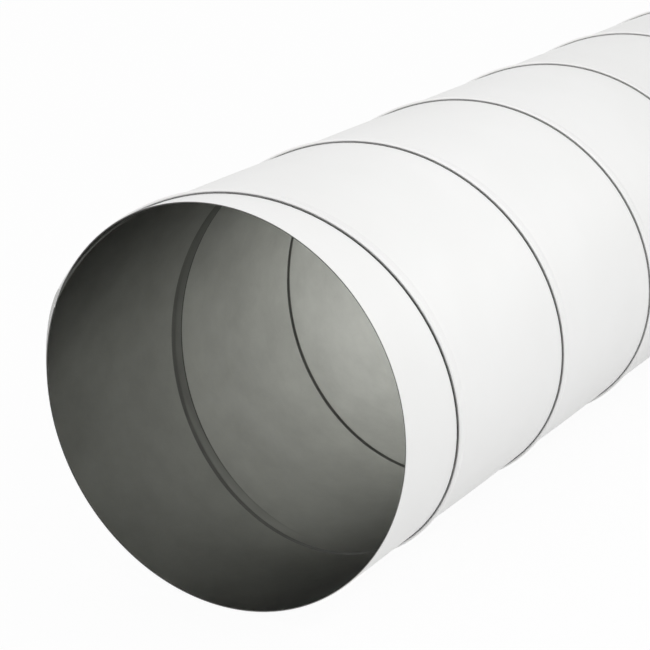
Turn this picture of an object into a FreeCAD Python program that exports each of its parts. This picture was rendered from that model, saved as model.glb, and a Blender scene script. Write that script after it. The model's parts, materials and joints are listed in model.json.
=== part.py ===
"""Spiral duct section: a single strip of sheet metal, wound into a tube and locked to itself along a helical seam.

The duct lies on its side along +Y with its open end at the front, and the seam's rib touches the ground at z = 0.
"""

import FreeCAD, Part

import math
import os

# Driving dimensions, in millimetres and degrees
BORE_DIAMETER = 200.0  # clear inside diameter, which is the nominal size of the duct
SHEET = 0.6  # thickness of the strip
LENGTH = 1000.0  # cut length of the section
SEAM_PITCH = 118.0  # distance along the duct from one turn of the seam to the next
SEAM_PLIES = 4  # layers of sheet that are folded together in the lock
LOCK_WIDTH = 4.0  # width of the lock's flat top along the duct
JOGGLE_RUN = 4.0  # length over which the sheet steps down from the lock to the wall
SLOT_DEPTH = 2.0  # how far the lip of the lock overhangs the open slot at its foot
SLOT_HEIGHT = 0.3  # clear height of that slot
GUTTER_RUN = 1.0  # length over which the wall dips toward the slot in front of the lip
GUTTER_DEPTH = 0.2  # how far it dips
HOLLOW_REACH = 6.2  # how far behind the lip the hollow inside the lock runs out
HOLLOW_DEPTH = 0.2  # how far the inside of the lock is pressed outward beside the strip's edge
HOLLOW_STEP = 0.2  # length over which the wall steps out into that hollow
SEAM_CLOCK = 207.0  # where the lip meets the front end, clockwise from the right as seen from the front

# Radii and heights that follow from them
BORE_RADIUS = BORE_DIAMETER / 2
WALL_RADIUS = BORE_RADIUS + SHEET
CREST_RADIUS = BORE_RADIUS + SEAM_PLIES * SHEET
GUTTER_RADIUS = WALL_RADIUS - GUTTER_DEPTH
LIP_UNDERSIDE = GUTTER_RADIUS + SLOT_HEIGHT
HOLLOW_RADIUS = BORE_RADIUS + HOLLOW_DEPTH
JOGGLE_FOOT = LOCK_WIDTH + JOGGLE_RUN

# Section of one turn of the strip, as (place along the duct, radius) from the slot to the next turn's slot
OUTSIDE = [
    (SLOT_DEPTH, GUTTER_RADIUS),
    (SLOT_DEPTH, LIP_UNDERSIDE),
    (0.0, LIP_UNDERSIDE),
    (0.0, CREST_RADIUS),
    (LOCK_WIDTH, CREST_RADIUS),
    (JOGGLE_FOOT, WALL_RADIUS),
    (SEAM_PITCH - GUTTER_RUN, WALL_RADIUS),
    (SEAM_PITCH, GUTTER_RADIUS),
    (SEAM_PITCH + SLOT_DEPTH, GUTTER_RADIUS),
]
INSIDE = [
    (SLOT_DEPTH, BORE_RADIUS),
    (SLOT_DEPTH + HOLLOW_STEP, HOLLOW_RADIUS),
    (HOLLOW_REACH, BORE_RADIUS),
    (SEAM_PITCH + SLOT_DEPTH, BORE_RADIUS),
]

SPARE_TURNS = 2
SEWING_GAP = 0.001
HALF_TURN = math.pi


def point_on(corner, half_turn):
    """A corner of the section at the start of a half turn of the winding."""
    station, radius = corner
    angle = HALF_TURN * (half_turn % 2)
    along = station + SEAM_PITCH * half_turn / 2
    return FreeCAD.Vector(radius * math.cos(angle), radius * math.sin(angle), along)


def line_on(cylinder, start, end):
    """An edge that is straight on the unrolled cylinder, between two (angle, place along the duct) pairs."""
    segment = Part.Geom2d.Line2dSegment(FreeCAD.Base.Vector2d(*start), FreeCAD.Base.Vector2d(*end))
    return segment.toShape(cylinder)


def cylinder_of(radius):
    """The endless cylinder of that radius about the duct's axis."""
    cylinder = Part.Cylinder()
    cylinder.Radius = radius
    return cylinder


def ends_of(corner, half_turn):
    """The (angle, place along the duct) pairs where a corner's helix enters and leaves a half turn."""
    angle = HALF_TURN * (half_turn % 2)
    along = corner[0] + SEAM_PITCH * half_turn / 2
    return (angle, along), (angle + HALF_TURN, along + SEAM_PITCH / 2)


def band(first, second, half_turn):
    """Half a turn of a face between two corners of the section at one radius: a strip of a true cylinder."""
    cylinder = cylinder_of(first[1])
    near_start, near_end = ends_of(first, half_turn)
    far_start, far_end = ends_of(second, half_turn)
    corners = [near_start, near_end, far_end, far_start, near_start]
    edges = [line_on(cylinder, a, b) for a, b in zip(corners, corners[1:])]
    return Part.Face(cylinder, Part.Wire(edges))


def flank(first, second, half_turn):
    """Half a turn of a sloping face between two corners of the section: a helicoid ruled between two helices."""
    near = line_on(cylinder_of(first[1]), *ends_of(first, half_turn))
    far = line_on(cylinder_of(second[1]), *ends_of(second, half_turn))
    return Part.makeRuledSurface(near, far)


def wound_faces(section, half_turns):
    """The faces that a section's corners sweep as the strip winds through those half turns."""
    faces = []
    for half_turn in half_turns:
        for first, second in zip(section, section[1:]):
            sweep = band if first[1] == second[1] else flank
            faces.append(sweep(first, second, half_turn))
    return faces


def strip_end(half_turn):
    """The flat cut across the strip at the start of a half turn."""
    outline = [point_on(corner, half_turn) for corner in OUTSIDE + INSIDE[::-1]]
    return Part.Face(Part.makePolygon(outline + outline[:1]))


def wound_strip(first, last):
    """The strip wound from one half turn to another, each turn joined to the next along the seam."""
    near_edge = [OUTSIDE[0], INSIDE[0]]
    far_edge = [OUTSIDE[-1], INSIDE[-1]]
    faces = wound_faces(OUTSIDE, range(first, last))
    faces += wound_faces(INSIDE, range(first, last))
    faces += wound_faces(near_edge, range(first, first + 2))
    faces += wound_faces(far_edge, range(last - 2, last))
    faces += [strip_end(first), strip_end(last)]
    shell = Part.makeCompound(faces)
    shell.sewShape(SEWING_GAP)
    return Part.makeSolid(shell.Shells[0])


def duct():
    """The wound tube, cut square at both ends."""
    lead = SEAM_PITCH * (SEAM_CLOCK / 360.0)
    turns = math.ceil((LENGTH + lead) / SEAM_PITCH)
    tube = wound_strip(-2 * SPARE_TURNS, 2 * (turns + SPARE_TURNS))
    tube.translate(FreeCAD.Vector(0, 0, -lead))
    return tube.common(Part.makeCylinder(2 * CREST_RADIUS, LENGTH))


def lay_down(tube):
    """Turn the duct from standing on its front end to lying along +Y, centred over the origin."""
    tube.rotate(FreeCAD.Vector(0, 0, 0), FreeCAD.Vector(1, 0, 0), -90)
    tube.translate(FreeCAD.Vector(0, -LENGTH / 2, CREST_RADIUS))
    return tube


os.makedirs("parts", exist_ok=True)
lay_down(duct()).exportStep("parts/spiral_duct.step")
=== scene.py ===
"""Spiral duct section: one strip of white-coated galvanised sheet, wound and locked along a helix."""

import json
import math

import bmesh
import bpy
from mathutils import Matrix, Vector


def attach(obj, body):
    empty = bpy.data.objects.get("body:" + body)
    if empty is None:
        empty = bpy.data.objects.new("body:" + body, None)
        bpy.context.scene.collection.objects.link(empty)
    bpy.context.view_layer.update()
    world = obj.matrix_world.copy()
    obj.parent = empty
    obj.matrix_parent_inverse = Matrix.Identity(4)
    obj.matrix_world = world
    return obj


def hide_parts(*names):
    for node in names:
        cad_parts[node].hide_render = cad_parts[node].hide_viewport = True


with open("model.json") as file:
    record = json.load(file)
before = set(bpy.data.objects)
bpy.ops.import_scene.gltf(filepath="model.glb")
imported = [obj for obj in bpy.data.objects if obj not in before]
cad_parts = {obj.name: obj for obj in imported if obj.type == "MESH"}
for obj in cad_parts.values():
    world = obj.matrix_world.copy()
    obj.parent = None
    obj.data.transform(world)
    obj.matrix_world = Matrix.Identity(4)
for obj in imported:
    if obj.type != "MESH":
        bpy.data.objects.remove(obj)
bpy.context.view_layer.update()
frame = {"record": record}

# Sizes in metres: the bore and length from the frame, and the part's own values for the seam
MM = 0.001
NODE = "spiral_duct"
BORE_RADIUS = frame["record"]["mounts"][0]["dims"]["r_mm"] * MM
LENGTH = frame["record"]["mounts"][0]["dims"]["length_mm"] * MM
SHEET = 0.6 * MM
SEAM_PITCH = 118.0 * MM
SEAM_PLIES = 4
SLOT_DEPTH = 2.0 * MM
SLOT_HEIGHT = 0.3 * MM
GUTTER_RUN = 1.0 * MM
GUTTER_DEPTH = 0.2 * MM
SEAM_CLOCK = math.radians(207.0)

# Fine relief and marks that the solid leaves out
WALL_BOW = 0.35 * MM
NOSE_REACH = 1.3 * MM
LOCK_BACK = 9.0 * MM
# A band inside beside each seam, and a line at its edge, both made darker on the first turn only
DARK_BAND_REACH = 7.3 * MM
DARK_BAND_EDGE = 8.3 * MM
JOINT_RUN = 1.6 * MM
JOINT_REACH = 1.3 * MM
JOINT_DEPTH = 0.13 * MM
JOINT_STEP = 0.1 * MM
# Width of the gutter floor painted near black as shade in front of each lip
SEAM_SHADE_REACH = 0.55 * MM

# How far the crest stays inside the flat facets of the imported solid
FACET_GAP = 0.08 * MM

# Radii and places that follow from them
WALL_RADIUS = BORE_RADIUS + SHEET
CREST_RADIUS = BORE_RADIUS + SEAM_PLIES * SHEET - FACET_GAP
GUTTER_RADIUS = WALL_RADIUS - GUTTER_DEPTH
LIP_UNDERSIDE = GUTTER_RADIUS + SLOT_HEIGHT
AXIS_HEIGHT = CREST_RADIUS + FACET_GAP
FRONT = -LENGTH / 2
BACK = LENGTH / 2

# Where along the duct the seam's painted shade, the zinc's painted light and shade, and the darker inner band
# begin and end to change
SEAM_SHADE_FADE = (FRONT + 0.12, FRONT + 0.52)
ZINC_PAINTED_LIGHT_FADE = (FRONT + 0.14, FRONT + 0.28)
DARK_BAND_START = (FRONT + 0.088, FRONT + 0.105)
DARK_BAND_END = (FRONT + 0.13, FRONT + 0.20)

# How finely the mesh follows the shape
STEPS_PER_TURN = 120
CURVE_STEPS = 6
BOW_STEPS = 8
WALL_MARGIN = 1.5 * MM
SUPPORT = 0.3 * MM
SHARP_ANGLE = math.radians(38.0)
ROUNDED = 0.2

# Materials by index in the mesh
COAT, ZINC, DARK_BAND, DARK_BAND_LINE, JOINT, CREVICE, CUT = range(7)


def ramp(start, end, steps):
    """Points of a slope between two (station, radius) corners, rounded at both ends."""
    points = []
    for k in range(steps + 1):
        t = k / steps
        near = min(t, 1 - t)
        bend = near * near / (2 * ROUNDED) if near < ROUNDED else near - ROUNDED / 2
        rise = bend / (1 - ROUNDED) if t < 0.5 else 1 - bend / (1 - ROUNDED)
        points.append((start[0] + (end[0] - start[0]) * t, start[1] + (end[1] - start[1]) * rise))
    return points


def half_round(centre, reach, height, steps):
    """Points of a nose about a (station, radius) centre, from its underside round the front to its top."""
    points = []
    for k in range(steps + 1):
        turn = math.pi * k / steps
        points.append((centre[0] - reach * math.sin(turn), centre[1] - height * math.cos(turn)))
    return points


def bowed(start, end, radius):
    """Points of the wall between two stations, which springs outward a little between its two seams."""
    points = []
    for k in range(BOW_STEPS + 1):
        t = k / BOW_STEPS
        points.append((start + (end - start) * t, radius + WALL_BOW * 4 * t * (1 - t)))
    return points


def outside_section():
    """The outer face of one turn, as stretches that end in a crease, with their materials."""
    half_height = (CREST_RADIUS - LIP_UNDERSIDE) / 2
    start = [(SLOT_DEPTH, GUTTER_RADIUS)]
    slot = [(SLOT_DEPTH, LIP_UNDERSIDE), (NOSE_REACH, LIP_UNDERSIDE)]
    nose = (NOSE_REACH, LIP_UNDERSIDE + half_height)
    lip = half_round(nose, NOSE_REACH, half_height, 2 * CURVE_STEPS)[1:]
    back = ramp((NOSE_REACH + SUPPORT, CREST_RADIUS), (LOCK_BACK, WALL_RADIUS), 2 * CURVE_STEPS)
    wall = bowed(LOCK_BACK + WALL_MARGIN, SEAM_PITCH - GUTTER_RUN, WALL_RADIUS)
    gutter = [(SEAM_PITCH, GUTTER_RADIUS), (SEAM_PITCH + SEAM_SHADE_REACH, GUTTER_RADIUS)]
    floor = [(SEAM_PITCH + SLOT_DEPTH, GUTTER_RADIUS)]
    return [
        (start, CREVICE),
        (slot, COAT),
        (lip + back + wall, COAT),
        # The gutter before each lip is painted near black as shade
        (gutter, CREVICE),
        (floor, COAT),
    ]


def inside_section():
    """The inner face of one turn: a band beside the seam that is darker on the first turn, the plain wall,
    and its cut edge at the next joint.
    """
    start = [(SLOT_DEPTH, BORE_RADIUS)]
    strip = [(DARK_BAND_REACH, BORE_RADIUS)]
    edge = [(DARK_BAND_EDGE, BORE_RADIUS)]
    wall = bowed(DARK_BAND_EDGE + WALL_MARGIN, SEAM_PITCH - JOINT_RUN, BORE_RADIUS)
    joint = [(SEAM_PITCH - JOINT_RUN + JOINT_STEP, BORE_RADIUS + JOINT_DEPTH)]
    foot_depth = JOINT_DEPTH * (SLOT_DEPTH - JOINT_REACH) / (SLOT_DEPTH + JOINT_RUN)
    foot = [(SEAM_PITCH + JOINT_REACH, BORE_RADIUS + foot_depth)]
    rise = [(SEAM_PITCH + SLOT_DEPTH, BORE_RADIUS)]
    return [
        (start, ZINC),
        (strip, DARK_BAND),
        (edge, DARK_BAND_LINE),
        (wall, ZINC),
        # The step into each joint inside takes the cut end's near-black painted shade
        (joint, CUT),
        (foot, JOINT),
        (rise, DARK_BAND),
    ]


def flattened(section):
    """A section's points in one list, the material that ends at each, and the creases between stretches."""
    points = []
    materials = []
    creases = set()
    for stretch, material in section:
        points += stretch
        materials += [material] * len(stretch)
        creases.add(len(points) - 1)
    return points, materials, creases


def place(station, radius, turn):
    """A point of the winding in the shared frame; turns run clockwise from the right, seen from the front."""
    along = FRONT + station + SEAM_PITCH * (turn - SEAM_CLOCK) / (2 * math.pi)
    return Vector((radius * math.cos(turn), along, AXIS_HEIGHT - radius * math.sin(turn)))


def wind(bm, section, outward):
    """Wind one face of the strip over the whole length and a spare turn at each end."""
    points, materials, creases = flattened(section)
    columns = len(points) - 1
    first = -2 * STEPS_PER_TURN
    last = math.ceil((LENGTH / SEAM_PITCH + 2) * STEPS_PER_TURN)
    rows = []
    for step in range(first, last):
        turn = 2 * math.pi * step / STEPS_PER_TURN
        rows.append([bm.verts.new(place(s, r, turn)) for s, r in points[:columns]])

    def vertex(row, column):
        return rows[row][column] if column < columns else rows[row + STEPS_PER_TURN][0]

    for row in range(len(rows) - STEPS_PER_TURN - 1):
        for column in range(columns):
            here = [vertex(row, column), vertex(row, column + 1)]
            there = [vertex(row + 1, column + 1), vertex(row + 1, column)]
            corners = here + there
            face = bm.faces.new(corners[::-1] if outward else corners)
            face.material_index = materials[column + 1]
            face.smooth = True
            if column in creases:
                bm.edges.get((corners[0], corners[3])).smooth = False


def cut_square(bm, station, outward):
    """Cut the winding square at one end and close the cut edge of the sheet."""
    everything = bm.verts[:] + bm.edges[:] + bm.faces[:]
    normal = Vector((0, outward, 0))
    bmesh.ops.bisect_plane(
        bm, geom=everything, dist=1e-7, plane_co=(0, station, 0), plane_no=normal, clear_outer=True
    )
    rim = [e for e in bm.edges if e.is_boundary and all(abs(v.co.y - station) < 1e-6 for v in e.verts)]
    filled = bmesh.ops.triangle_fill(bm, use_beauty=True, edges=rim, normal=normal)["geom"]
    for face in filled:
        if isinstance(face, bmesh.types.BMFace):
            face.normal_update()
            if face.normal.dot(normal) < 0:
                face.normal_flip()
            face.material_index = CUT
            face.smooth = False


def duct_mesh():
    """The whole duct as one closed mesh."""
    bm = bmesh.new()
    wind(bm, outside_section(), True)
    wind(bm, inside_section(), False)
    cut_square(bm, FRONT, -1)
    cut_square(bm, BACK, 1)
    loose = [v for v in bm.verts if not v.link_faces]
    bmesh.ops.delete(bm, geom=loose, context="VERTS")
    for edge in bm.edges:
        if len(edge.link_faces) == 2 and edge.calc_face_angle() > SHARP_ANGLE:
            edge.smooth = False
    mesh = bpy.data.meshes.new("duct_skin")
    bm.to_mesh(mesh)
    bm.free()
    return mesh


def new_material(name):
    """An empty node material and its shader."""
    material = bpy.data.materials.new(name)
    material.use_nodes = True
    return material, material.node_tree, material.node_tree.nodes["Principled BSDF"]


def noise(tree, scale, detail, roughness):
    """A noise texture in the object's own coordinates."""
    coordinates = tree.nodes.new("ShaderNodeTexCoord")
    texture = tree.nodes.new("ShaderNodeTexNoise")
    texture.inputs["Scale"].default_value = scale
    texture.inputs["Detail"].default_value = detail
    texture.inputs["Roughness"].default_value = roughness
    tree.links.new(coordinates.outputs["Object"], texture.inputs["Vector"])
    return texture


def gradient(tree, axis, span, values):
    """A value that runs evenly between two places on one axis of the object."""
    coordinates = tree.nodes.new("ShaderNodeTexCoord")
    axes = tree.nodes.new("ShaderNodeSeparateXYZ")
    tree.links.new(coordinates.outputs["Object"], axes.inputs["Vector"])
    node = tree.nodes.new("ShaderNodeMapRange")
    for name, value in zip(("From Min", "From Max", "To Min", "To Max"), (*span, *values)):
        node.inputs[name].default_value = value
    tree.links.new(axes.outputs[axis], node.inputs["Value"])
    return node.outputs["Result"]


def combined(tree, operation, first, second):
    """Two values taken together by a math node."""
    node = tree.nodes.new("ShaderNodeMath")
    node.operation = operation
    tree.links.new(first, node.inputs[0])
    tree.links.new(second, node.inputs[1])
    return node.outputs[0]


def colour_ramp(tree, factor, stops):
    """A colour ramp of (place, colour) stops over a factor."""
    node = tree.nodes.new("ShaderNodeValToRGB")
    while len(node.color_ramp.elements) < len(stops):
        node.color_ramp.elements.new(1.0)
    for element, (where, colour) in zip(node.color_ramp.elements, stops):
        element.position = where
        element.color = (*colour, 1.0)
    tree.links.new(factor, node.inputs["Fac"])
    return node


def mottled(tree, texture, dark, light):
    """A ramp from a dark to a light tone over the middle of a noise texture's range."""
    return colour_ramp(tree, texture.outputs["Fac"], [(0.3, dark), (0.7, light)])


def coat_material():
    """Satin white coating: almost even, with a faint unevenness in tone and a fine orange peel."""
    material, tree, shader = new_material("white_coat")
    tone = noise(tree, scale=9.0, detail=4.0, roughness=0.5)
    colours = mottled(tree, tone, (0.84, 0.84, 0.83), (0.88, 0.88, 0.875))
    tree.links.new(colours.outputs["Color"], shader.inputs["Base Color"])
    shader.inputs["Roughness"].default_value = 0.48
    peel = noise(tree, scale=900.0, detail=2.0, roughness=0.5)
    bump = tree.nodes.new("ShaderNodeBump")
    bump.inputs["Strength"].default_value = 0.03
    bump.inputs["Distance"].default_value = 0.0002
    tree.links.new(peel.outputs["Fac"], bump.inputs["Height"])
    tree.links.new(bump.outputs["Normal"], shader.inputs["Normal"])
    return material


# Painted light and shade on the zinc: lighter low down and darker high up, darker near the open end and
# lighter deeper in
ZINC_PAINTED_LIGHT_BY_HEIGHT = (1.06, 0.94)
ZINC_PAINTED_LIGHT_BY_DEPTH = (0.83, 1.17)
# How far the band beside the inner seam and its edge line are darkened on the first turn
DARK_BAND_TONE = 0.48
DARK_BAND_LINE_TONE = 0.26


def zinc_material(name, band_tone=1.0):
    """Bare zinc with painted light and shade: darker high up and near the open end, lighter low down and
    deeper in. Below one, the last argument darkens the zinc on the first turn to that share of its tone.
    """
    material, tree, shader = new_material(name)
    cloud = noise(tree, scale=28.0, detail=6.0, roughness=0.65)
    colours = mottled(tree, cloud, (0.64, 0.643, 0.626), (0.768, 0.772, 0.751))
    shaded_colour = tree.nodes.new("ShaderNodeVectorMath")
    shaded_colour.operation = "SCALE"
    tree.links.new(colours.outputs["Color"], shaded_colour.inputs[0])
    # Painted light and shade by height and by distance from the open end
    height = gradient(tree, "Z", (0.0, 2 * AXIS_HEIGHT), ZINC_PAINTED_LIGHT_BY_HEIGHT)
    tone = combined(tree, "MULTIPLY", height, gradient(tree, "Y", ZINC_PAINTED_LIGHT_FADE, ZINC_PAINTED_LIGHT_BY_DEPTH))
    # On the first turn only, the band's zinc is darkened to the given share of its tone
    if band_tone < 1.0:
        before = gradient(tree, "Y", DARK_BAND_START, (1.0, band_tone))
        behind = gradient(tree, "Y", DARK_BAND_END, (band_tone, 1.0))
        tone = combined(tree, "MULTIPLY", tone, combined(tree, "MAXIMUM", before, behind))
    tree.links.new(tone, shaded_colour.inputs["Scale"])
    tree.links.new(shaded_colour.outputs["Vector"], shader.inputs["Base Color"])
    shader.inputs["Metallic"].default_value = 1.0
    shader.inputs["Roughness"].default_value = 0.30
    shader.inputs["Anisotropic"].default_value = 0.71
    around = tree.nodes.new("ShaderNodeTangent")
    around.direction_type = "RADIAL"
    around.axis = "Y"
    tree.links.new(around.outputs["Tangent"], shader.inputs["Tangent"])
    return material


def joint_material():
    """The joint between two turns inside, where the zinc is dull and dust gathers."""
    material, tree, shader = new_material("dull_joint")
    dust = noise(tree, scale=60.0, detail=3.0, roughness=0.6)
    colours = mottled(tree, dust, (0.25, 0.25, 0.236), (0.315, 0.315, 0.297))
    tree.links.new(colours.outputs["Color"], shader.inputs["Base Color"])
    shader.inputs["Metallic"].default_value = 0.5
    shader.inputs["Roughness"].default_value = 0.5
    return material


def crevice_material():
    """Painted shade in the gutter in front of each lip: black near the open end and grey farther along."""
    material, tree, shader = new_material("seam_painted_shade")
    shade_mottle = noise(tree, scale=60.0, detail=3.0, roughness=0.6)
    # Painted shade: near black close to the open end, fading to grey farther along, with a little random
    # mottle
    fade = tree.nodes.new("ShaderNodeMath")
    fade.operation = "MULTIPLY_ADD"
    fade.inputs[1].default_value = 0.1
    tree.links.new(shade_mottle.outputs["Fac"], fade.inputs[0])
    tree.links.new(gradient(tree, "Y", SEAM_SHADE_FADE, (0.0, 0.9)), fade.inputs[2])
    colours = colour_ramp(tree, fade.outputs[0], [(0.0, (0.012, 0.012, 0.011)), (1.0, (0.42, 0.42, 0.41))])
    tree.links.new(colours.outputs["Color"], shader.inputs["Base Color"])
    shader.inputs["Roughness"].default_value = 0.8
    return material


def from_axis(tree):
    """The distance of a point from the duct's axis, in thicknesses of sheet beyond the bore."""
    coordinates = tree.nodes.new("ShaderNodeTexCoord")
    across = tree.nodes.new("ShaderNodeVectorMath")
    across.operation = "MULTIPLY_ADD"
    across.inputs[1].default_value = (1.0, 0.0, 1.0)
    across.inputs[2].default_value = (0.0, 0.0, -AXIS_HEIGHT)
    tree.links.new(coordinates.outputs["Object"], across.inputs[0])
    radius = tree.nodes.new("ShaderNodeVectorMath")
    radius.operation = "LENGTH"
    tree.links.new(across.outputs["Vector"], radius.inputs[0])
    plies = tree.nodes.new("ShaderNodeMapRange")
    plies.clamp = False
    plies.inputs["From Min"].default_value = BORE_RADIUS
    plies.inputs["From Max"].default_value = BORE_RADIUS + SHEET
    tree.links.new(radius.outputs["Value"], plies.inputs["Value"])
    return plies.outputs["Result"]


def cut_material():
    """The cut end: the wall's edge painted near black as shade, and the lock's pale folded plies with a line
    of painted shade below each.
    """
    material, tree, shader = new_material("cut_edge")
    share = tree.nodes.new("ShaderNodeMath")
    share.operation = "DIVIDE"
    share.inputs[1].default_value = SEAM_PLIES
    tree.links.new(from_axis(tree), share.inputs[0])
    # Painted shade: the wall's cut edge near black, and a dark line between the plies
    painted_shade_edge = (0.03, 0.03, 0.028)
    painted_gap_shade = (0.10, 0.10, 0.095)
    fold = (0.62, 0.62, 0.61)
    second = [(0.26, painted_gap_shade), (0.30, fold), (0.48, fold)]
    third = [(0.50, painted_gap_shade), (0.53, fold), (0.73, fold)]
    fourth = [(0.75, painted_gap_shade), (0.78, fold)]
    stops = [(0.0, painted_shade_edge), *second, *third, *fourth]
    plies = colour_ramp(tree, share.outputs[0], stops)
    tree.links.new(plies.outputs["Color"], shader.inputs["Base Color"])
    shader.inputs["Roughness"].default_value = 0.6
    return material


def make_duct():
    """The finished duct, in the place of its solid."""
    duct = bpy.data.objects.new("spiral_duct_skin", duct_mesh())
    bpy.context.scene.collection.objects.link(duct)
    zinc = zinc_material("zinc_painted_light_and_shade")
    darker_band = zinc_material("darker_band_zinc", DARK_BAND_TONE)
    darker_band_line = zinc_material("darker_band_line", DARK_BAND_LINE_TONE)
    seam = [joint_material(), crevice_material(), cut_material()]
    for material in [coat_material(), zinc, darker_band, darker_band_line, *seam]:
        duct.data.materials.append(material)
    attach(duct, "root")
    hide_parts(NODE)


# The photograph's view: from the right of the open end, looking down at it through a long lens
FRAME_PIXELS = 650.0
FOCAL_PIXELS = 2033.3
SENSOR = 36.0
CAMERA_PLACE = Vector((0.4978, -1.2411, 0.4427))
CAMERA_AZIMUTH = math.radians(30.64)
CAMERA_PITCH = math.radians(18.46)


def make_camera():
    """A camera at the photograph's angle."""
    data = bpy.data.cameras.new("camera")
    data.sensor_width = SENSOR
    data.lens = SENSOR * FOCAL_PIXELS / FRAME_PIXELS
    camera = bpy.data.objects.new("camera", data)
    camera.location = CAMERA_PLACE
    camera.rotation_euler = (math.pi / 2 - CAMERA_PITCH, 0.0, CAMERA_AZIMUTH)
    bpy.context.scene.collection.objects.link(camera)
    bpy.context.scene.camera = camera


# A floor so wide that its edge stays out of sight, and the share of it that looks white
FLOOR_REACH = 60.0
FLOOR_WHITE = 0.95


def seen_directly(tree):
    """One for rays from the camera, a reflection or a glass, and nothing for other light."""
    path = tree.nodes.new("ShaderNodeLightPath")
    seen = path.outputs["Is Camera Ray"]
    for kind in ("Is Glossy Ray", "Is Transmission Ray"):
        seen = combined(tree, "MAXIMUM", seen, path.outputs[kind])
    return seen


def floor_material():
    """A pale floor that looks white to the camera and still takes the object's shadow."""
    material, tree, shader = new_material("pale_floor")
    shader.inputs["Base Color"].default_value = (0.82, 0.82, 0.82, 1.0)
    shader.inputs["Roughness"].default_value = 0.9
    output = tree.nodes["Material Output"]
    share = tree.nodes.new("ShaderNodeMath")
    share.operation = "MULTIPLY"
    share.inputs[1].default_value = FLOOR_WHITE
    tree.links.new(seen_directly(tree), share.inputs[0])
    white = tree.nodes.new("ShaderNodeEmission")
    white.inputs["Color"].default_value = (1.0, 1.0, 1.0, 1.0)
    mix = tree.nodes.new("ShaderNodeMixShader")
    tree.links.new(share.outputs[0], mix.inputs["Fac"])
    tree.links.new(shader.outputs["BSDF"], mix.inputs[1])
    tree.links.new(white.outputs["Emission"], mix.inputs[2])
    tree.links.new(mix.outputs["Shader"], output.inputs["Surface"])
    return material


def make_floor():
    """A wide plain floor under the object."""
    mesh = bpy.data.meshes.new("floor")
    r = FLOOR_REACH
    mesh.from_pydata([(-r, -r, 0), (r, -r, 0), (r, r, 0), (-r, r, 0)], [], [(0, 1, 2, 3)])
    floor = bpy.data.objects.new("floor", mesh)
    bpy.context.scene.collection.objects.link(floor)
    mesh.materials.append(floor_material())


def area_lamp(name, place, aim, size, power):
    """A soft round lamp that points at a place."""
    data = bpy.data.lights.new(name, "AREA")
    data.shape = "DISK"
    data.size = size
    data.energy = power
    lamp = bpy.data.objects.new(name, data)
    lamp.location = place
    lamp.rotation_euler = (Vector(aim) - Vector(place)).to_track_quat("-Z", "Y").to_euler()
    lamp.visible_camera = False
    bpy.context.scene.collection.objects.link(lamp)


# Light of the surroundings at the two ends of an axis, and where along it they meet
STUDIO_AXIS = (0.0, 0.8, -0.6)
STUDIO_MEET = 0.6
STUDIO_FRONT = 0.945
STUDIO_BACK = 0.475

# Lamps: a small one over the open end, and a large one far behind on the right
KEY_PLACE = (0.557, -0.43, 0.602)
KEY_AIM = (0.0, -0.43, 0.1)
RIM_PLACE = (3.6, 6.6, 2.4)
RIM_AIM = (0.0, -0.2, 0.1)


def studio_world():
    """Surroundings that light the duct most from the front and above, and look white where they are seen."""
    world = bpy.data.worlds.new("studio")
    world.use_nodes = True
    tree = world.node_tree
    background = tree.nodes["Background"]
    background.inputs["Color"].default_value = (1.0, 1.0, 1.0, 1.0)
    direction = tree.nodes.new("ShaderNodeTexCoord")
    axis = tree.nodes.new("ShaderNodeVectorMath")
    axis.operation = "DOT_PRODUCT"
    axis.inputs[1].default_value = STUDIO_AXIS
    tree.links.new(direction.outputs["Generated"], axis.inputs[0])
    depth = tree.nodes.new("ShaderNodeMapRange")
    depth.interpolation_type = "SMOOTHSTEP"
    depth.inputs["From Min"].default_value = -STUDIO_MEET
    depth.inputs["From Max"].default_value = STUDIO_MEET
    depth.inputs["To Min"].default_value = STUDIO_FRONT
    depth.inputs["To Max"].default_value = STUDIO_BACK
    tree.links.new(axis.outputs["Value"], depth.inputs["Value"])
    strength = combined(tree, "MAXIMUM", depth.outputs["Result"], seen_directly(tree))
    tree.links.new(strength, background.inputs["Strength"])
    return world


def make_light():
    """The surroundings, a small soft lamp near the open end, and a large one behind the far end."""
    bpy.context.scene.world = studio_world()
    area_lamp("key", KEY_PLACE, KEY_AIM, size=0.13, power=1.0)
    area_lamp("rim", RIM_PLACE, RIM_AIM, size=3.2, power=25.0)


make_duct()
make_camera()
make_floor()
make_light()
bpy.context.scene.view_settings.view_transform = "Standard"
